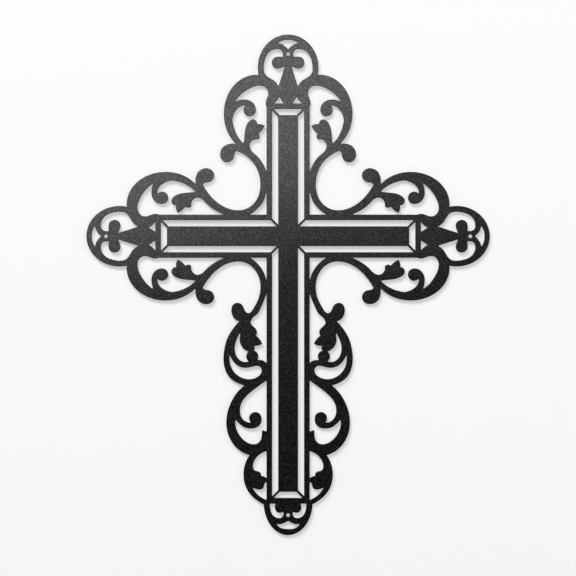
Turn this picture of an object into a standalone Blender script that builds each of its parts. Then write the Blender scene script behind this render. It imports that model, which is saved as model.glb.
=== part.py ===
"""Openwork wall cross, cut from one sheet of steel and powder-coated black.

Metres, +Z up. The cross hangs upright in the XZ plane with its front towards -Y.
The origin is on the flat back, behind the middle of the crossing.
The drawing is made in millimetres. On an arm, the first coordinate runs sideways from the arm's
axis and the second runs outwards from the crossing. Each half arm is drawn once and turned into place.
"""

import math

import bmesh
import bpy
import numpy as np
from mathutils import Vector
from mathutils.geometry import delaunay_2d_cdt

MM = 0.001

# Overall sizes, in millimetres
ARM_REACH = 184.2           # crossing's middle to the tip of the top arm and of each side arm
SHAFT_REACH = 273.0         # crossing's middle to the foot
PLATE_THICKNESS = 2.0

# Straight bars of the cross and of the frame around it, in millimetres
BAR_WIDTH = 18.2            # solid bar in the middle of each arm
SLOT_WIDTH = 5.45           # gap between the bar and the frame
RAIL_WIDTH = 5.2            # the frame's strips
MITRE_WIDTH = 2.2           # diagonal ties between the bar's corners and the frame's

# Ends of the arms, in millimetres
FINIAL_HEIGHT = 62.9        # ring and spear beyond the frame, on the three equal arms
FOOT_HEIGHT = 28.9          # the plainer end of the shaft
HOLE_DIAMETER = 3.3         # one fixing hole in each end

# Faceting
CHORD_ERROR = 0.12          # how far a facet may leave its curve, in millimetres
FACET_TURN = 22.0           # most that the outline turns from one facet to the next, in degrees

# The ornament below is drawn at its real size beside a frame of these sizes, in millimetres.
# It is fitted to the frame above, and moves and stretches with it.
DRAWN_FRAME_HALF = 19.75
DRAWN_ARM_FRAME_END = 121.3
DRAWN_SHAFT_FRAME_END = 244.1
DRAWN_FINIAL_HEIGHT = 62.9
DRAWN_FOOT_HEIGHT = 28.9
DRAWN_LOOP_END = 80.0       # where the corner loops pass into the shaft's own scrolls

# The frame and the ornament's scales, worked out from the sizes above
BAR_HALF = BAR_WIDTH / 2
SLOT_HALF = BAR_HALF + SLOT_WIDTH
FRAME_HALF = SLOT_HALF + RAIL_WIDTH
ARM_FRAME_END = ARM_REACH - FINIAL_HEIGHT
SHAFT_FRAME_END = SHAFT_REACH - FOOT_HEIGHT
SCROLL_SCALE = (ARM_FRAME_END - FRAME_HALF) / (DRAWN_ARM_FRAME_END - DRAWN_FRAME_HALF)
LOOP_END = FRAME_HALF + SCROLL_SCALE * (DRAWN_LOOP_END - DRAWN_FRAME_HALF)
SHAFT_STRETCH = (SHAFT_FRAME_END - LOOP_END) / (DRAWN_SHAFT_FRAME_END - DRAWN_LOOP_END)

# Arms and shaft, as (outward direction, sideways direction) in the XZ plane
TOP_SIDES = (((0, 1), (1, 0)), ((0, 1), (-1, 0)))
RIGHT_SIDES = (((1, 0), (0, 1)), ((1, 0), (0, -1)))
LEFT_SIDES = (((-1, 0), (0, 1)), ((-1, 0), (0, -1)))
SHAFT_SIDES = (((0, -1), (1, 0)), ((0, -1), (-1, 0)))
ARM_SIDES = TOP_SIDES + RIGHT_SIDES + LEFT_SIDES


def velocity(leaving, arriving):
    """How long a curve's handle is, as a share of the chord, for the angles at its two ends."""
    root2, root5 = math.sqrt(2), math.sqrt(5)
    sin_l, cos_l = math.sin(leaving), math.cos(leaving)
    sin_a, cos_a = math.sin(arriving), math.cos(arriving)
    lift = 2 + root2 * (sin_l - sin_a / 16) * (sin_a - sin_l / 16) * (cos_l - cos_a)
    return lift / (3 * (1 + (root5 - 1) / 2 * cos_l + (3 - root5) / 2 * cos_a))


def spline_spans(points):
    """Bezier spans of one smooth curve through the points, rounded as a drawn scroll is."""
    z = [complex(*p) for p in points]
    n = len(z) - 1
    chord = [z[k + 1] - z[k] for k in range(n)]
    length = [abs(c) for c in chord]
    turn = [0.0] + [np.angle(chord[k] / chord[k - 1]) for k in range(1, n)] + [0.0]
    a = np.zeros((n + 1, n + 1))
    b = np.zeros(n + 1)
    a[0, 0] = a[0, 1] = a[n, n - 1] = a[n, n] = 1
    b[0] = -turn[1]
    for k in range(1, n):
        a[k, k - 1] = 1 / length[k - 1]
        a[k, k] = 2 / length[k - 1] + 2 / length[k]
        a[k, k + 1] = 1 / length[k]
        b[k] = -2 * turn[k] / length[k - 1] - turn[k + 1] / length[k]
    leave = np.linalg.solve(a, b)
    spans = []
    for k in range(n):
        out, back = leave[k], -turn[k + 1] - leave[k + 1]
        first = z[k] + chord[k] * np.exp(1j * out) * velocity(out, back)
        second = z[k + 1] - chord[k] * np.exp(-1j * back) * velocity(back, out)
        spans.append((z[k], first, second, z[k + 1]))
    return spans


def smooth(points):
    """Points along the smooth curve through the given ones, as many as the facets need."""
    if len(points) < 3:
        return list(points)
    dense = [points[0]]
    for p0, p1, p2, p3 in spline_spans(points):
        bow = 0.75 * max(abs(p0 - 2 * p1 + p2), abs(p1 - 2 * p2 + p3))
        turn = abs(math.degrees(np.angle((p3 - p2) / (p1 - p0))))
        steps = max(1, math.ceil(math.sqrt(bow / CHORD_ERROR)), math.ceil(turn / FACET_TURN))
        for k in range(1, steps + 1):
            t = k / steps
            s = 1 - t
            p = s**3 * p0 + 3 * s * s * t * p1 + 3 * s * t * t * p2 + t**3 * p3
            dense.append((p.real, p.imag))
    return dense


def outline(*stretches):
    """A closed outline. Each stretch is smooth and starts at the corner where the last one ended."""
    loop = []
    for stretch in stretches:
        through = loop[-1:] + list(stretch)
        loop = loop[:-1] + smooth(through)
    return loop


def arc(centre, radii, start, end):
    """A few points for a stretch along an ellipse, between two angles in degrees."""
    steps = max(2, math.ceil(abs(end - start) / 30))
    angles = [math.radians(start + (end - start) * k / steps) for k in range(steps + 1)]
    return [(centre[0] + radii[0] * math.cos(t), centre[1] + radii[1] * math.sin(t)) for t in angles]


def disc(centre, radius):
    return outline(arc(centre, (radius, radius), 0, 360))[:-1]


def box(low, high):
    return [low, (high[0], low[1]), high, (low[0], high[1])]


def crescent(side_edge, top_edge):
    """An outline across the arm's axis, from the drawing of its right lower edge and its top edge."""
    left_edge = [(-x, y) for x, y in reversed(side_edge)]
    return outline(side_edge, top_edge, left_edge[1:])[:-1]


# The finial of the three equal arms, with one of its two kidney windows

RING = ((0, 154.0), (27.7, 30.2))
RING_ROOT = (6, 131)
SPEAR = [(0, 163.8), (10.6, 131.7), (3.5, 120.3), (-3.5, 120.3), (-10.6, 131.7)]
KIDNEY_WINDOW = (
    [(4.95, 163.8), (4.9, 167.2), (6.3, 169.8), (9.8, 170.9), (14.5, 169.9), (18.9, 166.1),
     (21.3, 160.5), (22.3, 153.5), (21.4, 148.8), (18.5, 145.6), (13.5, 142.6), (8.8, 136.95)],
    [(3.05, 155.1)],
    [(6.3, 153.8), (9.6, 153.0), (13.6, 154.8), (14.95, 158.5), (13.4, 162.4), (9.6, 164.0)],
)
CRESCENT_SIDE = [(0, 170.8), (2.4, 173.2), (5.5, 175.3), (9.4, 176.2)]
CRESCENT_TOP = [(6.5, 178.1), (0, 179.3), (-6.5, 178.1), (-9.4, 176.2)]
FINIAL_HOLE_CENTRE = (0, 166.3)

# One half of the scrollwork beside each equal arm

LOBE = ((29.0, 112.0), (29.8, 35.5))
LOBE_BAND = (
    arc(*LOBE, 140, -62),
    [(38.5, 82.8)],
    [(46.3, 91.8), (50.8, 106.0), (48.0, 123.2), (40.0, 131.8), (31.0, 136.6), (24.0, 137.3),
     (19.3, 134.3), (18.2, 131.0), (18.7, 127.7), (20.3, 123.2), (19.6, 117.5)],
    [(14.0, 119.0)],
    [(12.9, 121.3)],
    [(10.1, 123.9), (7.8, 127.4)],
    [(6.5, 130.0)],
)
CURL = (
    [(52.5, 120.5), (48.0, 123.2), (43.0, 124.6), (37.2, 124.6), (32.0, 121.8), (29.35, 115.1)],
    [(35.0, 115.1)],
    [(37.9, 119.2)],
    [(43.3, 118.5), (48.2, 113.8), (50.8, 106.0)],
    [(54.0, 106.0)],
)
CURL_END = ((35.05, 115.1), 5.7)
LEAF = (
    [(40.9, 84.0), (40.2, 88.0), (39.8, 93.0), (38.6, 99.8), (36.0, 104.7), (32.2, 106.7),
     (29.1, 105.2), (28.2, 102.3)],
    [(25.0, 102.4), (21.2, 100.8)],
    [(23.7, 96.8), (26.9, 93.7)],
    [(25.9, 91.2), (27.5, 88.2)],
    [(31.0, 88.1), (34.3, 85.4), (35.2, 82.3)],
    [(38.0, 80.0)],
)
BALL = (
    [(47.0, 77.9), (48.3, 76.7), (49.3, 72.5), (51.7, 68.8), (55.4, 67.4), (59.6, 68.9),
     (62.0, 73.0), (61.8, 77.2), (59.3, 81.6), (54.8, 84.1), (49.0, 84.55)],
    [(48.0, 85.1)],
    [(42.0, 84.0)],
    [(42.0, 78.0)],
)

# The loops in the four corners of the crossing, measured from the vertical and the horizontal axis

UPPER_LOOP = (
    [(36.0, 83.0), (35.2, 82.3), (34.5, 79.9), (30.0, 74.8), (25.0, 69.4), (20.4, 61.0),
     (18.4, 50.0), (19.9, 40.0), (22.5, 31.8), (28.0, 24.9), (33.9, 20.3), (40.0, 17.8),
     (50.0, 17.0), (59.3, 20.0), (66.0, 23.3), (74.0, 29.2), (79.8, 34.4), (83.0, 35.2)],
    [(84.0, 46.0)],
    [(77.9, 47.0)],
    [(75.5, 43.0), (69.5, 35.3), (60.0, 27.8), (50.0, 24.1), (39.5, 24.7), (29.5, 32.3),
     (25.4, 46.5), (27.7, 59.8), (36.0, 71.6), (44.3, 76.8), (47.0, 77.9)],
    [(44.0, 84.0)],
)
LOWER_LOOP = (
    [(36.0, 80.0), (34.2, 78.6), (33.2, 76.0), (29.0, 72.0), (25.0, 65.9), (20.8, 55.7),
     (18.5, 47.0), (20.0, 39.0), (22.5, 32.3), (27.0, 25.9), (33.7, 20.2), (40.0, 17.6),
     (50.0, 16.9), (59.5, 20.0), (66.0, 23.3), (74.0, 29.2), (79.8, 34.4), (83.0, 35.2)],
    [(84.0, 46.0)],
    [(77.9, 47.0)],
    [(75.5, 43.0), (69.5, 35.2), (60.0, 27.4), (50.0, 23.6), (39.5, 24.1), (29.9, 31.4),
     (25.3, 46.0), (27.6, 58.0), (32.2, 66.6), (36.8, 70.15), (39.2, 68.3)],
    [(44.0, 72.0)],
)

# One half of the shaft's scrollwork, outwards from the crossing

SHAFT_BALL = (
    [(36.8, 70.15), (39.2, 68.3), (40.8, 64.6), (43.2, 61.7), (46.4, 60.8), (50.1, 62.3),
     (51.8, 66.5), (51.4, 71.0), (49.0, 75.3), (44.7, 77.7)],
    [(37.0, 78.0)],
)
SHAFT_LEAF = (
    [(44.5, 84.0), (43.8, 88.3), (44.3, 94.5), (42.7, 100.2), (38.8, 104.2), (34.0, 105.5),
     (31.0, 104.0), (30.9, 100.2)],
    [(27.2, 99.9), (23.6, 98.1)],
    [(26.0, 93.9), (29.3, 90.8)],
    [(28.4, 87.6), (30.2, 83.7), (33.3, 80.8), (34.2, 78.5), (33.5, 76.5)],
    [(40.0, 74.0)],
)
SHAFT_BEAD = ((32.7, 109.8), 5.6)
FIRST_LOBE = (
    [(41.0, 74.5), (44.7, 77.7), (50.2, 84.1), (54.7, 91.3), (58.0, 101.3), (59.1, 112.0),
     (57.5, 122.0), (52.5, 130.0), (44.5, 134.9), (36.0, 137.0)],
    [(19.0, 131.0)],
    [(17.5, 124.0)],
    [(19.0, 116.5)],
    [(22.5, 113.7), (26.9, 112.95)],
    [(33.0, 112.0)],
    [(36.4, 114.3)],
    [(39.2, 114.8), (43.1, 113.7), (47.0, 109.6), (48.7, 103.4), (47.5, 96.0), (43.8, 88.3)],
    [(40.0, 84.0)],
)
FIRST_LOBE_WINDOW = (
    [(53.3, 108.7), (50.6, 113.6), (44.8, 118.9), (37.5, 120.2), (31.0, 118.8), (27.9, 118.4),
     (25.0, 120.1), (24.3, 123.5), (28.0, 128.3), (36.0, 130.5), (44.5, 128.0), (50.2, 122.6),
     (53.2, 115.0), (53.3, 108.7)],
)
SECOND_LOBE = (
    [(38.0, 134.3), (42.0, 137.9), (46.4, 142.3), (51.0, 149.3), (54.6, 157.7), (56.5, 169.0),
     (55.3, 179.5), (51.3, 188.2), (45.0, 195.2), (35.3, 199.9)],
    [(30.0, 201.0)],
    [(19.0, 196.0)],
    [(17.5, 187.0)],
    [(19.0, 178.4)],
    [(21.6, 177.7), (23.9, 176.8)],
    [(24.0, 180.5), (24.8, 185.2), (27.3, 188.7), (31.2, 189.9), (36.5, 188.7), (42.4, 184.2),
     (46.6, 177.5), (48.1, 170.5), (47.8, 167.6)],
    [(43.9, 158.5)],
    [(42.3, 152.0), (37.5, 145.5), (31.0, 140.0), (25.0, 135.6), (19.0, 131.4)],
    [(17.5, 126.0)],
)
SHAFT_CURL = (
    [(50.0, 163.5), (47.8, 167.7), (44.8, 171.0), (40.0, 174.5), (33.5, 175.7), (27.3, 173.8),
     (24.3, 166.2)],
    [(29.95, 166.2)],
    [(33.2, 169.9)],
    [(37.6, 169.6), (41.6, 166.6), (43.6, 162.4), (43.9, 158.5)],
    [(48.0, 157.0)],
)
SHAFT_CURL_END = ((29.95, 166.2), 5.7)
THIRD_LOBE = (
    [(30.0, 195.0)],
    [(35.3, 199.9)],
    [(38.8, 206.4), (40.7, 214.3), (40.5, 222.3), (37.5, 231.3),
     (31.8, 238.5), (22.5, 244.8), (18.0, 246.8)],
    [(17.0, 242.0)],
    [(19.0, 241.1)],
    [(25.2, 237.9), (29.6, 233.9), (32.2, 229.7)],
    [(28.8, 231.0), (25.6, 231.4), (22.6, 229.8), (21.8, 227.3), (21.3, 225.6), (19.0, 225.0)],
    [(18.5, 222.0)],
    [(19.3, 221.1)],
    [(22.2, 219.4), (24.6, 218.8)],
    [(25.2, 216.2), (27.3, 214.7), (30.6, 213.7), (32.0, 210.8), (31.0, 205.5), (27.5, 200.6),
     (23.3, 197.6), (19.0, 196.0)],
    [(18.0, 194.0)],
)

# The shaft's foot, with one of its two kidney windows

FOOT = ((0, 243.0), (22.4, 30.0))
FOOT_KIDNEY_WINDOW = (
    [(4.45, 251.9), (4.5, 254.8), (6.5, 257.0), (9.8, 257.2), (13.7, 254.9), (15.9, 250.4),
     (16.5, 244.3)],
    [(11.5, 244.3)],
    [(12.1, 248.0), (10.4, 251.7), (7.3, 252.6)],
)
FOOT_CRESCENT_SIDE = [(0, 260.1), (2.6, 261.4), (6.0, 262.9), (10.4, 262.5)]
FOOT_CRESCENT_TOP = [(8.0, 265.6), (0, 267.4), (-8.0, 265.6), (-10.4, 262.5)]
FOOT_HOLE_CENTRE = (0, 254.7)


def scroll_point(point):
    """Scrollwork beside an arm and the corner loops, fitted between the frame's side and its end."""
    return [FRAME_HALF + SCROLL_SCALE * (c - DRAWN_FRAME_HALF) for c in point]


def shaft_point(point):
    """The shaft's scrollwork: as wide as the arms', and stretched along the shaft past the loops."""
    across, along = scroll_point(point)
    if point[1] > DRAWN_LOOP_END:
        along = LOOP_END + SHAFT_STRETCH * (point[1] - DRAWN_LOOP_END)
    return across, along


def finial_point(point):
    """The finial stands on the arm's frame."""
    scale = FINIAL_HEIGHT / DRAWN_FINIAL_HEIGHT
    return scale * point[0], ARM_FRAME_END + scale * (point[1] - DRAWN_ARM_FRAME_END)


def foot_point(point):
    """The foot stands on the shaft's frame."""
    scale = FOOT_HEIGHT / DRAWN_FOOT_HEIGHT
    return scale * point[0], SHAFT_FRAME_END + scale * (point[1] - DRAWN_SHAFT_FRAME_END)


def frame_point(point):
    """The frame is drawn from its real sizes."""
    return point


def turned(points, side, fit):
    """Fits points drawn for a half arm and turns them onto one side of an arm of the cross."""
    out, across = side
    fitted = [fit(p) for p in points]
    return [(s * across[0] + t * out[0], s * across[1] + t * out[1]) for s, t in fitted]


def mitre_tie(corner):
    """A thin diagonal strip from a corner of a bar into the frame's corner."""
    diagonal = Vector((1, 1))
    half_width = Vector((-1, 1)).normalized() * MITRE_WIDTH / 2
    start = Vector(corner) - diagonal
    end = Vector(corner) + diagonal * (SLOT_WIDTH + RAIL_WIDTH / 4)
    return [tuple(p) for p in (start - half_width, end - half_width, end + half_width, start + half_width)]


def straight_metal():
    """The cross's solid bars, the frame around them and the mitre ties."""
    end_strip = SLOT_WIDTH + RAIL_WIDTH
    arm_bar_end, shaft_bar_end = ARM_FRAME_END - end_strip, SHAFT_FRAME_END - end_strip
    shapes = [
        box((-BAR_HALF, -shaft_bar_end), (BAR_HALF, arm_bar_end)),
        box((-arm_bar_end, -BAR_HALF), (arm_bar_end, BAR_HALF)),
    ]
    for sides, frame_end in ((ARM_SIDES, ARM_FRAME_END), (SHAFT_SIDES, SHAFT_FRAME_END)):
        rail = box((SLOT_HALF, SLOT_HALF), (FRAME_HALF, frame_end))
        end_rail = box((-SLOT_HALF, frame_end - RAIL_WIDTH), (FRAME_HALF, frame_end))
        tie = mitre_tie((BAR_HALF, frame_end - end_strip))
        shapes += [turned(shape, side, frame_point) for side in sides for shape in (rail, end_rail, tie)]
    corner_tie = mitre_tie((BAR_HALF, BAR_HALF))
    return shapes + [turned(corner_tie, side, frame_point) for side in TOP_SIDES + SHAFT_SIDES]


def end_metal():
    """The ring and spear on the three equal arms, and the foot of the shaft, before their windows."""
    root_across, root_along = RING_ROOT
    ring = outline(arc(*RING, -30, 210), [(-root_across, root_along)], [(root_across, root_along)])
    foot = outline(arc(*FOOT, 0, 180))
    shapes = [turned(shape, side, finial_point) for side in ARM_SIDES[::2] for shape in (ring, SPEAR)]
    return shapes + [turned(foot, SHAFT_SIDES[0], foot_point)]


def end_windows():
    kidney, foot_kidney = outline(*KIDNEY_WINDOW), outline(*FOOT_KIDNEY_WINDOW)
    windows = [turned(kidney, side, finial_point) for side in ARM_SIDES]
    windows += [turned(foot_kidney, side, foot_point) for side in SHAFT_SIDES]
    across_axis = crescent(CRESCENT_SIDE, CRESCENT_TOP)
    for side in ARM_SIDES[::2]:
        windows += [turned(across_axis, side, finial_point), fixing_hole(FINIAL_HOLE_CENTRE, side, finial_point)]
    across_axis = crescent(FOOT_CRESCENT_SIDE, FOOT_CRESCENT_TOP)
    side = SHAFT_SIDES[0]
    return windows + [turned(across_axis, side, foot_point), fixing_hole(FOOT_HOLE_CENTRE, side, foot_point)]


def fixing_hole(centre, side, fit):
    return turned(disc(fit(centre), HOLE_DIAMETER / 2), side, frame_point)


def scroll_metal():
    """Scrollwork beside the three equal arms, and the loops in the corners of the crossing."""
    drawings = [outline(*LOBE_BAND), outline(*CURL), disc(*CURL_END), outline(*LEAF), outline(*BALL)]
    shapes = [turned(drawing, side, scroll_point) for side in ARM_SIDES for drawing in drawings]
    shapes += [turned(outline(*UPPER_LOOP), side, scroll_point) for side in TOP_SIDES]
    return shapes + [turned(outline(*LOWER_LOOP), side, scroll_point) for side in SHAFT_SIDES]


def shaft_metal():
    bands = (SHAFT_BALL, SHAFT_LEAF, FIRST_LOBE, SECOND_LOBE, SHAFT_CURL, THIRD_LOBE)
    drawings = [outline(*band) for band in bands] + [disc(*SHAFT_BEAD), disc(*SHAFT_CURL_END)]
    return [turned(drawing, side, shaft_point) for side in SHAFT_SIDES for drawing in drawings]


def shaft_windows():
    return [turned(outline(*FIRST_LOBE_WINDOW)[:-1], side, shaft_point) for side in SHAFT_SIDES]


def covered(outlines, places):
    """Which of the places lie inside any of the outlines."""
    inside = np.zeros(len(places), bool)
    for loop in outlines:
        start = np.array(loop)
        end = np.roll(start, -1, axis=0)
        near = np.all((places > start.min(0)) & (places < start.max(0)), axis=1) & ~inside
        x, y = places[near, 0:1], places[near, 1:2]
        side = (end[:, 0] - start[:, 0]) * (y - start[:, 1]) - (x - start[:, 0]) * (end[:, 1] - start[:, 1])
        upward = (start[:, 1] <= y) & (end[:, 1] > y) & (side > 0)
        downward = (start[:, 1] > y) & (end[:, 1] <= y) & (side < 0)
        inside[near] = upward.sum(1) != downward.sum(1)
    return inside


def metal_triangles(points, edges, metal, windows):
    """Fills the drawing with triangles along the given edges, and keeps those that are metal."""
    weld = 0.02
    places, _, faces, *_ = delaunay_2d_cdt(points, edges, [], 0, weld)
    places = np.array([tuple(p) for p in places])
    faces = np.array(faces)
    middles = places[faces].mean(1)
    return places, faces[covered(metal, middles) & ~covered(windows, middles)]


def merged_sheet(metal, windows):
    """The flat shape of all the metal outlines together, less the windows, as points and triangles.

    Points are rounded, so that shapes drawn to the same place really meet there.
    """
    points, edges = [], []
    for loop in metal + windows:
        first = len(points)
        points += [Vector((round(x, 4), round(y, 4))) for x, y in loop]
        edges += [(first + k, first + (k + 1) % len(loop)) for k in range(len(loop))]
    places, faces = metal_triangles(points, edges, metal, windows)
    sides = np.sort(np.concatenate([faces[:, [0, 1]], faces[:, [1, 2]], faces[:, [2, 0]]]), axis=1)
    sides, uses = np.unique(sides, axis=0, return_counts=True)
    kept, rim = np.unique(sides[uses == 1], return_inverse=True)
    rim_points = [Vector(places[k]) for k in kept]
    rim_edges = [tuple(int(k) for k in pair) for pair in rim.reshape(-1, 2)]
    return metal_triangles(rim_points, rim_edges, metal, windows)


def plate_mesh(name, places, faces):
    """The sheet standing in the XZ plane, with its back at y = 0 and its front towards -Y."""
    bm = bmesh.new()
    verts = {k: bm.verts.new((places[k][0] * MM, 0, places[k][1] * MM)) for k in np.unique(faces)}
    for face in faces:
        bm.faces.new([verts[k] for k in face])
    front = bmesh.ops.extrude_face_region(bm, geom=bm.faces[:])["geom"]
    front_verts = [v for v in front if isinstance(v, bmesh.types.BMVert)]
    bmesh.ops.translate(bm, verts=front_verts, vec=(0, -PLATE_THICKNESS * MM, 0))
    bmesh.ops.recalc_face_normals(bm, faces=bm.faces[:])
    mesh = bpy.data.meshes.new(name)
    bm.to_mesh(mesh)
    bm.free()
    return mesh


def coated_steel():
    """Steel under a fine-textured black powder coat."""
    material = bpy.data.materials.new("textured_black_coat")
    material.use_nodes = True
    shader = material.node_tree.nodes["Principled BSDF"]
    shader.inputs["Base Color"].default_value = (0.018, 0.018, 0.020, 1)
    shader.inputs["Roughness"].default_value = 0.55
    shader.inputs["Metallic"].default_value = 0.0
    return material


def build_cross():
    metal = straight_metal() + end_metal() + scroll_metal() + shaft_metal()
    windows = end_windows() + shaft_windows()
    mesh = plate_mesh("wall_cross", *merged_sheet(metal, windows))
    mesh.materials.append(coated_steel())
    mesh.shade_smooth()
    mesh.set_sharp_from_angle(angle=math.radians(30))
    cross = bpy.data.objects.new("wall_cross", mesh)
    bpy.context.collection.objects.link(cross)


for old in list(bpy.data.objects):
    bpy.data.objects.remove(old)
build_cross()
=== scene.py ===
# A flat steel wall cross with scrollwork, in black textured powder coat, on a plain pale wall.

import math

import bpy
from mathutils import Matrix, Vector


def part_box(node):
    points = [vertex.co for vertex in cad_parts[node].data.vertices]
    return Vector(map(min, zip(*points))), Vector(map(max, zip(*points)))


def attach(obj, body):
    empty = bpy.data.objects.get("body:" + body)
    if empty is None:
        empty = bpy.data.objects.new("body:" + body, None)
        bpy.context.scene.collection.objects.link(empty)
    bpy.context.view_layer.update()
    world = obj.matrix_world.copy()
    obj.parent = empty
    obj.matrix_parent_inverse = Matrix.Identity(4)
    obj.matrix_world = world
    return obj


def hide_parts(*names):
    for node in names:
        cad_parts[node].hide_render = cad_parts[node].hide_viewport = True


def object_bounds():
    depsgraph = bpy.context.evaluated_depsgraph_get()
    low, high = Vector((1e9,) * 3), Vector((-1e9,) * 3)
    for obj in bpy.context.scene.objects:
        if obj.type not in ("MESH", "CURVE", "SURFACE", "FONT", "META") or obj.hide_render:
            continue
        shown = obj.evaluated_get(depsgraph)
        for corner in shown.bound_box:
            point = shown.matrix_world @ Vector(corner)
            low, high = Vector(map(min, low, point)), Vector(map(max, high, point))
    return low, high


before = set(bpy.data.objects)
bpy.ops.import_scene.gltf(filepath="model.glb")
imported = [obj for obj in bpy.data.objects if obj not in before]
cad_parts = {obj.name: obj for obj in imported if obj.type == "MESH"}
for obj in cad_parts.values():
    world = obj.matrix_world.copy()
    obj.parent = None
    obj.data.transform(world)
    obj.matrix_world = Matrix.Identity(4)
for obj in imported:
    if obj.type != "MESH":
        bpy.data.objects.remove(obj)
cadLow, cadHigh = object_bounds()
bpy.ops.object.select_all(action="DESELECT")
print("frame loaded")

mm = 0.001


# Shader maths: a socket that Python expressions can be written on

class Wire:
    def __init__(self, tree, socket=None):
        self.tree = tree
        self.socket = socket

    def node(self, kind, settings=None, inputs=None, output=0):
        # adds any node: its settings first, then the values or links of its sockets
        made = self.tree.nodes.new(kind)
        for name, value in (settings or {}).items():
            setattr(made, name, value)
        for name, value in (inputs or {}).items():
            if isinstance(value, Wire):
                self.tree.links.new(value.socket, made.inputs[name])
            else:
                made.inputs[name].default_value = value
        return Wire(self.tree, made.outputs[output] if made.outputs else None)

    def maths(self, operation, first, second):
        return self.node("ShaderNodeMath", {"operation": operation}, {0: first, 1: second})

    def __add__(self, other):
        return self.maths("ADD", self, other)

    def __radd__(self, other):
        return self.maths("ADD", other, self)

    def __sub__(self, other):
        return self.maths("SUBTRACT", self, other)

    def __rsub__(self, other):
        return self.maths("SUBTRACT", other, self)

    def __mul__(self, other):
        return self.maths("MULTIPLY", self, other)

    def __rmul__(self, other):
        return self.maths("MULTIPLY", other, self)


def newMaterial(name):
    material = bpy.data.materials.new(name)
    material.use_nodes = True
    material.node_tree.nodes.clear()
    return material, Wire(material.node_tree)


# The coat on the steel

coat = {
    "pitDark": (0.0006, 0.0005, 0.0010, 1.0),
    "grainTop": (0.0285, 0.0272, 0.0368, 1.0),
    "beads": {"size": 1.22 * mm, "detail": 1.0, "roughness": 0.5},    # the sandy texture
    "fine": {"size": 0.42 * mm, "detail": 2.0, "roughness": 0.6},     # the finer grain on it
    "cloud": {"size": 9.0 * mm, "detail": 3.0, "roughness": 0.5},     # slow change in the powder's thickness
    "fineShare": 0.25,
    "pitEdge": 0.495,            # below this height of the grain it is all pit
    "topEdge": 0.59,             # above this it is all bead
    "grainHeight": 0.15 * mm,
    "bumpStrength": 1.0,
    "roughness": 0.26,
    "pitRoughness": 0.08,        # how much rougher the pits are than the tops
    "cloudRoughness": 0.06,
    "specular": 0.12,
    "skinLeast": 0.63,           # how much of the melted skin over the beads is left in the pits
    "cloudSkin": 0.2,
    "skinRoughness": 0.19,
    "skinIor": 1.60,
}


def noiseAt(place, grain):
    return place.node("ShaderNodeTexNoise", None,
                      {"Vector": place, "Scale": 1.0 / grain["size"], "Detail": grain["detail"],
                       "Roughness": grain["roughness"]})


def sandyCoat():
    material, start = newMaterial("blackSandyCoat")
    place = start.node("ShaderNodeTexCoord", output=3)      # the object's own coordinates
    beads = noiseAt(place, coat["beads"])
    fine = noiseAt(place, coat["fine"])
    cloud = noiseAt(place, coat["cloud"])
    grain = beads * (1.0 - coat["fineShare"]) + fine * coat["fineShare"]
    raised = start.node("ShaderNodeMapRange", {"interpolation_type": "SMOOTHSTEP"},
                        {"Value": grain, "From Min": coat["pitEdge"], "From Max": coat["topEdge"]})
    colour = start.node("ShaderNodeMix", {"data_type": "RGBA"},
                        {0: raised, 6: coat["pitDark"], 7: coat["grainTop"]}, output=2)
    drift = cloud - 0.5
    roughness = coat["roughness"] + (1.0 - raised) * coat["pitRoughness"] + drift * coat["cloudRoughness"]
    skin = coat["skinLeast"] + raised * (1.0 - coat["skinLeast"]) + drift * coat["cloudSkin"]
    normal = start.node("ShaderNodeBump", None,
                        {"Height": grain, "Strength": coat["bumpStrength"],
                         "Distance": coat["grainHeight"]})
    surface = start.node("ShaderNodeBsdfPrincipled", None,
                         {"Base Color": colour, "Roughness": roughness, "Normal": normal,
                          "Specular IOR Level": coat["specular"], "Coat Weight": skin,
                          "Coat Roughness": coat["skinRoughness"], "Coat IOR": coat["skinIor"]})
    start.node("ShaderNodeOutputMaterial", None, {"Surface": surface})
    return material


# The cross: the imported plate's own outline, smoothed between its corners, with its cut edges eased

cross = {
    "cornerTurn": 27.0,          # degrees; the outline turns less than this where it is round
    "straightLength": 8.0 * mm,  # a longer side of the outline is straight
    "stepTurn": 6.0,             # degrees of turn for each side of a smoothed curve
    "cornerRadius": 0.25 * mm,
    "cornerReach": 0.80 * mm,    # most that a corner's rounding takes off its sides
    "cornerShare": 0.45,         # and most of the way to the next corner that it takes
    "arcTurn": 15.0,             # degrees of turn for each side of a rounded corner
    "edgeRadius": 0.45 * mm,
    "edgeSides": 4,
    "outlineWeld": 0.001 * mm,
    "pieceWeld": 0.002 * mm,
    "flatWithin": 0.01 * mm,     # a vertex this near to the front or back plane is on it
}


def pick(thing):
    # selects one object alone and makes it the active one
    bpy.ops.object.select_all(action="DESELECT")
    thing.select_set(True)
    bpy.context.view_layer.objects.active = thing


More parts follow.
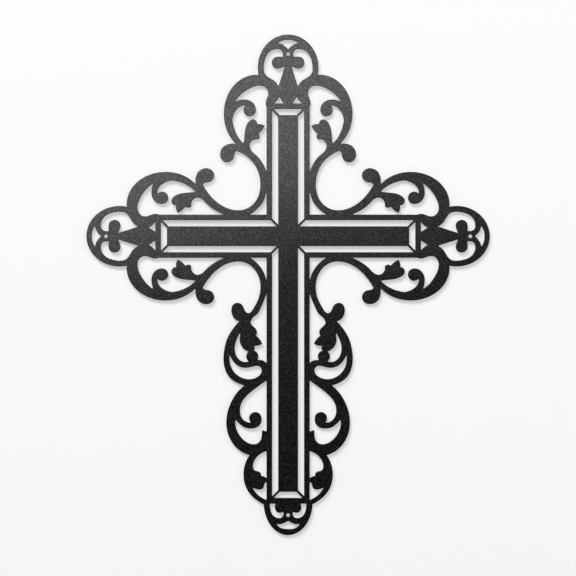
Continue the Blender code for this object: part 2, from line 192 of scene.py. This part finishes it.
def frontOutlines(node):
    # the rim loops of the plate's front face, as lists of points across the plate (x, z)
    sheet = bpy.data.objects.new("outline", node.data.copy())
    bpy.context.collection.objects.link(sheet)
    pick(sheet)
    bpy.ops.object.mode_set(mode="EDIT")
    bpy.ops.mesh.select_mode(type="FACE")
    bpy.ops.mesh.select_all(action="SELECT")
    bpy.ops.mesh.remove_doubles(threshold=cross["outlineWeld"])
    bpy.ops.object.mode_set(mode="OBJECT")
    for face in sheet.data.polygons:
        face.select = face.normal.y > -0.99      # all but the front
    bpy.ops.object.mode_set(mode="EDIT")
    bpy.ops.mesh.delete(type="FACE")
    bpy.ops.mesh.select_all(action="SELECT")
    bpy.ops.mesh.region_to_loop()
    bpy.ops.mesh.select_all(action="INVERT")
    bpy.ops.mesh.delete(type="EDGE")
    bpy.ops.object.mode_set(mode="OBJECT")
    bpy.ops.object.convert(target="CURVE")
    loops = [[Vector((p.co.x, p.co.z)) for p in spline.points] for spline in sheet.data.splines]
    bpy.data.objects.remove(sheet)
    return loops


def bezier(a, b, c, d, t):
    s = 1.0 - t
    return a * s ** 3 + b * 3.0 * s * s * t + c * 3.0 * s * t * t + d * t ** 3


def turnAt(points, index):
    # signed turn of a closed outline at a point, in degrees
    before = points[index] - points[index - 1]
    after = points[(index + 1) % len(points)] - points[index]
    return math.degrees(before.angle_signed(after, 0.0))


def headingsOf(sides, corner, straight):
    # the direction in which the smooth outline passes each of its points
    headings = []
    for i, after in enumerate(sides):
        before = sides[i - 1]
        if straight[i - 1] and not corner[i]:
            headings.append(before.normalized())
        elif straight[i] and not corner[i]:
            headings.append(after.normalized())
        else:
            mean = before.normalized() * after.length + after.normalized() * before.length
            headings.append(mean.normalized())
    return headings


def smoothed(points):
    # a closed outline with its round stretches filled in, and which of its points are corners
    count = len(points)
    sides = [points[(i + 1) % count] - points[i] for i in range(count)]
    corner = [abs(turnAt(points, i)) > cross["cornerTurn"] for i in range(count)]
    straight = [side.length > cross["straightLength"] for side in sides]
    headings = headingsOf(sides, corner, straight)
    found = []
    isCorner = []
    for i in range(count):
        j = (i + 1) % count
        found.append(points[i])
        isCorner.append(corner[i])
        if straight[i] or (corner[i] and corner[j]):
            continue
        along = sides[i].normalized()
        leave = headings[i]
        arrive = headings[j]
        if corner[i]:            # a stretch that starts or ends at a corner keeps its bend up to it
            leave = 2.0 * along.dot(arrive) * along - arrive
        if corner[j]:
            arrive = 2.0 * along.dot(leave) * along - leave
        bend = math.degrees(leave.angle(arrive, 0.0))
        steps = max(1, math.ceil(bend / cross["stepTurn"]))
        pull = sides[i].length / 3.0
        b = points[i] + leave * pull
        c = points[j] - arrive * pull
        for step in range(1, steps):
            found.append(bezier(points[i], b, c, points[j], step / steps))
            isCorner.append(False)
    return found, isCorner


def walk(points, start, step, reach, isCorner):
    # goes along the outline from a corner by the reach, but not past its share of the way to the next
    # corner; returns where it ends and the last point that it passed
    count = len(points)
    total = 0.0
    i = start
    while total < 2.0 * reach:
        j = (i + step) % count
        total += (points[j] - points[i]).length
        i = j
        if isCorner[i]:
            reach = min(reach, cross["cornerShare"] * total)
            break
    left = reach
    i = start
    while True:
        j = (i + step) % count
        length = (points[j] - points[i]).length
        if length >= left:
            return points[i].lerp(points[j], left / length), i
        left -= length
        i = j


def cornerArc(points, i, isCorner):
    # the small arc that rounds a corner, and which points of the outline it takes the place of
    turn = abs(turnAt(points, i))
    half = math.radians(turn) / 2.0
    reach = min(cross["cornerReach"], cross["cornerRadius"] * math.tan(half))
    first, lastBefore = walk(points, i, -1, reach, isCorner)
    last, lastAfter = walk(points, i, 1, reach, isCorner)
    pull = 4.0 / 3.0 * math.tan(half / 2.0) / math.tan(half)
    b = first.lerp(points[i], pull)
    c = last.lerp(points[i], pull)
    steps = max(2, math.ceil(turn / cross["arcTurn"]))
    arc = [bezier(first, b, c, last, step / steps) for step in range(steps + 1)]
    passed = set()
    for j, step in ((lastBefore, 1), (lastAfter, -1)):
        while j != i:
            passed.add(j)
            j = (j + step) % len(points)
    return arc, passed


def easedCorners(points, isCorner):
    # a closed outline with each corner rounded to about the corner radius
    arcs = {}
    skipped = set()
    for i in range(len(points)):
        if isCorner[i]:
            arcs[i], passed = cornerArc(points, i, isCorner)
            skipped |= passed
    eased = []
    for i, point in enumerate(points):
        if i in arcs:
            eased.extend(arcs[i])
        elif i not in skipped:
            eased.append(point)
    return eased


def plateCurve(name, loops, thickness):
    # the outlines as one flat filled curve, with the plate's thickness and a rounded edge
    data = bpy.data.curves.new(name, "CURVE")
    data.dimensions = "2D"
    data.fill_mode = "BOTH"
    for loop in loops:
        spline = data.splines.new("POLY")
        spline.points.add(len(loop) - 1)
        spline.use_cyclic_u = True
        for point, place in zip(spline.points, loop):
            point.co = (place.x, place.y, 0.0, 1.0)
    data.extrude = thickness / 2.0 - cross["edgeRadius"]
    data.bevel_depth = cross["edgeRadius"]
    data.offset = -cross["edgeRadius"]
    data.bevel_resolution = cross["edgeSides"] - 1
    return data


def platePiece(name, loops):
    # the curve stood upright in the plate's place and made a closed mesh
    low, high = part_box("wall_cross")
    piece = bpy.data.objects.new(name, plateCurve(name, loops, high.y - low.y))
    bpy.context.collection.objects.link(piece)
    piece.rotation_euler.x = math.radians(90.0)
    piece.location.y = (low.y + high.y) / 2.0
    pick(piece)
    bpy.ops.object.convert(target="MESH")
    bpy.ops.object.transform_apply(location=True, rotation=True, scale=True)
    bpy.ops.object.mode_set(mode="EDIT")
    bpy.ops.mesh.select_all(action="SELECT")
    bpy.ops.mesh.remove_doubles(threshold=cross["pieceWeld"])
    bpy.ops.mesh.normals_make_consistent(inside=False)
    bpy.ops.object.mode_set(mode="OBJECT")
    return piece


def flatFaces(piece):
    # smooth shading all over, with the two flat faces kept exactly flat
    low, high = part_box("wall_cross")
    mesh = piece.data
    mesh.shade_smooth()
    normals = []
    for vertex in mesh.vertices:
        if vertex.co.y < low.y + cross["flatWithin"]:
            normals.append((0.0, -1.0, 0.0))
        elif vertex.co.y > high.y - cross["flatWithin"]:
            normals.append((0.0, 1.0, 0.0))
        else:
            normals.append((0.0, 0.0, 0.0))      # the smooth normal stays
    mesh.normals_split_custom_set_from_vertices(normals)


def wallCross():
    loops = frontOutlines(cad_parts["wall_cross"])
    outlines = [easedCorners(*smoothed(loop)) for loop in loops]
    piece = platePiece("wallCross", outlines)
    flatFaces(piece)
    piece.data.materials.clear()
    piece.data.materials.append(sandyCoat())
    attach(piece, "root")
    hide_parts("wall_cross")
    piece.select_set(False)
    print("cross:", len(outlines), "outlines,", len(piece.data.polygons), "faces")


wallCross()


# The pale wall behind and the floor below

room = {
    "wallGap": 1.5 * mm,         # the plate's back stands this far off the wall
    "wallWidth": 3.0,
    "wallTop": 1.2,
    "floorLevel": -0.42,
    "floorDepth": 2.4,
    "coveRadius": 0.08,
    "coveSides": 12,
    "paint": (0.93, 0.93, 0.93, 1.0),
    "paintRoughness": 0.9,
    "paintSpecular": 0.1,
    "floorGlow": (0.52, 0.52, 0.52, 1.0),
    "glow": 0.515,               # lifts the paint as the open room around it would
}


def palePaint():
    # matt paint, which is clear from behind so that it never hides the plate's back
    material, start = newMaterial("palePaint")
    place = start.node("ShaderNodeTexCoord", output=3)
    height = start.node("ShaderNodeSeparateXYZ", None, {0: place}, output=2)
    floor = room["floorLevel"]
    wall = start.node("ShaderNodeMapRange", {"interpolation_type": "SMOOTHSTEP"},
                      {"Value": height, "From Min": floor, "From Max": floor + room["coveRadius"]})
    glow = start.node("ShaderNodeMix", {"data_type": "RGBA"},
                      {0: wall, 6: room["floorGlow"], 7: room["paint"]}, output=2)
    paint = start.node("ShaderNodeBsdfPrincipled", None,
                       {"Base Color": room["paint"], "Roughness": room["paintRoughness"],
                        "Specular IOR Level": room["paintSpecular"],
                        "Emission Color": glow, "Emission Strength": room["glow"]})
    clear = start.node("ShaderNodeBsdfTransparent")
    behind = start.node("ShaderNodeNewGeometry", output="Backfacing")
    surface = start.node("ShaderNodeMixShader", None, {0: behind, 1: paint, 2: clear})
    start.node("ShaderNodeOutputMaterial", None, {"Surface": surface})
    return material


def backdrop():
    half = room["wallWidth"] / 2.0
    back = room["wallGap"]
    floor = room["floorLevel"]
    near = 0.5 * mm
    bpy.ops.mesh.primitive_plane_add(size=1.0)
    sweep = bpy.context.object
    sweep.name = "paleWall"
    corners = [(-half, -room["floorDepth"], floor), (half, -room["floorDepth"], floor),
               (-half, back, floor), (half, back, floor)]
    for vertex, place in zip(sweep.data.vertices, corners):
        vertex.co = place
    bpy.ops.object.mode_set(mode="EDIT")
    bpy.ops.mesh.select_mode(type="EDGE")
    bpy.ops.mesh.select_all(action="DESELECT")
    bpy.ops.object.mode_set(mode="OBJECT")
    for edge in sweep.data.edges:                # the floor's back edge goes up as the wall
        edge.select = all(sweep.data.vertices[i].co.y > 0.0 for i in edge.vertices)
    bpy.ops.object.mode_set(mode="EDIT")
    bpy.ops.mesh.extrude_region_move(TRANSFORM_OT_translate={"value": (0.0, 0.0, room["wallTop"] - floor)})
    bpy.ops.object.mode_set(mode="OBJECT")
    for edge in sweep.data.edges:                # and the edge between them is rounded to a cove
        ends = [sweep.data.vertices[i].co for i in edge.vertices]
        edge.select = all(abs(end.y - back) < near and end.z < floor + near for end in ends)
    bpy.ops.object.mode_set(mode="EDIT")
    bpy.ops.mesh.bevel(offset=room["coveRadius"], segments=room["coveSides"])
    bpy.ops.object.mode_set(mode="OBJECT")
    sweep.data.shade_smooth()
    sweep.data.materials.append(palePaint())
    # the wall shows and takes shadows, and keeps no light off the plate's back
    for rays in ("visible_shadow", "visible_diffuse", "visible_glossy", "visible_transmission"):
        setattr(sweep, rays, False)
    sweep.select_set(False)
    print("backdrop: pale wall and floor")


backdrop()


# Soft studio light: boxes that light everything, and boxes and cards that only the coat shows

lights = {
    "sheenBox": {"place": (-0.80, -1.60, 0.76), "size": (2.60, 1.50), "watts": 24.6, "turn": -15.0,
                 "aim": (0.0, 0.0, 0.0), "coatOnly": True},
    "sheenFill": {"place": (0.25, -1.60, 0.24), "size": (0.52, 0.46), "watts": 0.25,
                  "aim": (0.0, 0.0, 0.0), "coatOnly": True},
    "keyBox": {"place": (-1.55, -3.20, 3.35), "size": (3.2, 1.7), "watts": 125.0,
               "aim": (0.0, 0.0, -0.05)},
    "sideBox": {"place": (1.90, -1.60, 0.50), "size": (1.2, 1.2), "watts": 6.0,
                "aim": (0.0, 0.0, -0.05)},
    "leftCard": {"place": (-1.45, -1.50, -0.35), "size": (1.5, 1.5), "watts": 3.6,
                 "aim": (0.0, 0.0, -0.05), "coatOnly": True},
    "rightCard": {"place": (1.50, -1.45, -0.30), "size": (1.4, 1.5), "watts": 3.0,
                  "aim": (0.0, 0.0, -0.05), "coatOnly": True},
    "backBox": {"place": (0.50, 1.70, 0.05), "size": (2.4, 1.6), "watts": 8.0,
                "aim": (0.0, 0.0, -0.05)},
}


def aimAt(thing, target):
    thing.rotation_euler = (Vector(target) - thing.location).to_track_quat("-Z", "Y").to_euler()


def studioLights():
    for name, light in lights.items():
        bpy.ops.object.light_add(type="AREA", location=light["place"])
        lamp = bpy.context.object
        lamp.name = name
        lamp.data.shape = "ELLIPSE"
        lamp.data.size, lamp.data.size_y = light["size"]
        lamp.data.energy = light["watts"]
        lamp.visible_diffuse = not light.get("coatOnly", False)
        aimAt(lamp, light["aim"])
        lamp.rotation_euler.rotate_axis("Z", math.radians(light.get("turn", 0.0)))
        lamp.select_set(False)
    print("lights:", len(lights))


studioLights()


# The pale room around, which is dim where the plate's face looks

outlook = {
    "colour": (0.92, 0.92, 0.925, 1.0),
    "ahead": 0.02,               # how bright the room is to the plate, straight ahead of it
    "aside": 0.22,               # and off to its sides and behind it
    "aheadCosine": 0.88,         # nearer to straight ahead than this it is at its dimmest
    "asideCosine": 0.60,         # and farther off than this at its brightest
}


def surroundings():
    world = bpy.data.worlds.new("paleRoom")
    world.use_nodes = True
    world.node_tree.nodes.clear()
    start = Wire(world.node_tree)
    seen = start.node("ShaderNodeLightPath", output="Is Camera Ray")
    way = start.node("ShaderNodeTexCoord", output=3)        # in a world, the direction looked in
    ahead = start.node("ShaderNodeVectorMath", {"operation": "DOT_PRODUCT"},
                       {0: way, 1: (0.0, -1.0, 0.0)}, output=1)
    aside = start.node("ShaderNodeMapRange", {"interpolation_type": "SMOOTHSTEP"},
                       {"Value": ahead, "From Min": outlook["aheadCosine"],
                        "From Max": outlook["asideCosine"]})
    around = outlook["ahead"] + aside * (outlook["aside"] - outlook["ahead"])
    strength = around + seen * (1.0 - around)
    pale = start.node("ShaderNodeBackground", None, {"Color": outlook["colour"], "Strength": strength})
    start.node("ShaderNodeOutputWorld", None, {"Surface": pale})
    bpy.context.scene.world = world
    bpy.context.scene.view_settings.view_transform = "Standard"
    print("surroundings: pale room")


surroundings()


# A camera square to the wall

view = {
    "lens": 100.0,
    "sensor": 36.0,
    "framedWidth": 0.5258,       # how much of the plate's front plane the picture takes in
    "centre": (-0.0001, -0.0473),
}


def frontCamera():
    x, z = view["centre"]
    distance = view["framedWidth"] * view["lens"] / view["sensor"]
    bpy.ops.object.camera_add(location=(x, cadLow.y - distance, z), rotation=(math.radians(90.0), 0.0, 0.0))
    camera = bpy.context.object
    camera.name = "frontCamera"
    camera.data.lens = view["lens"]
    camera.data.sensor_width = view["sensor"]
    camera.select_set(False)
    bpy.context.scene.camera = camera
    print("camera at", tuple(round(value, 3) for value in camera.location))


frontCamera()
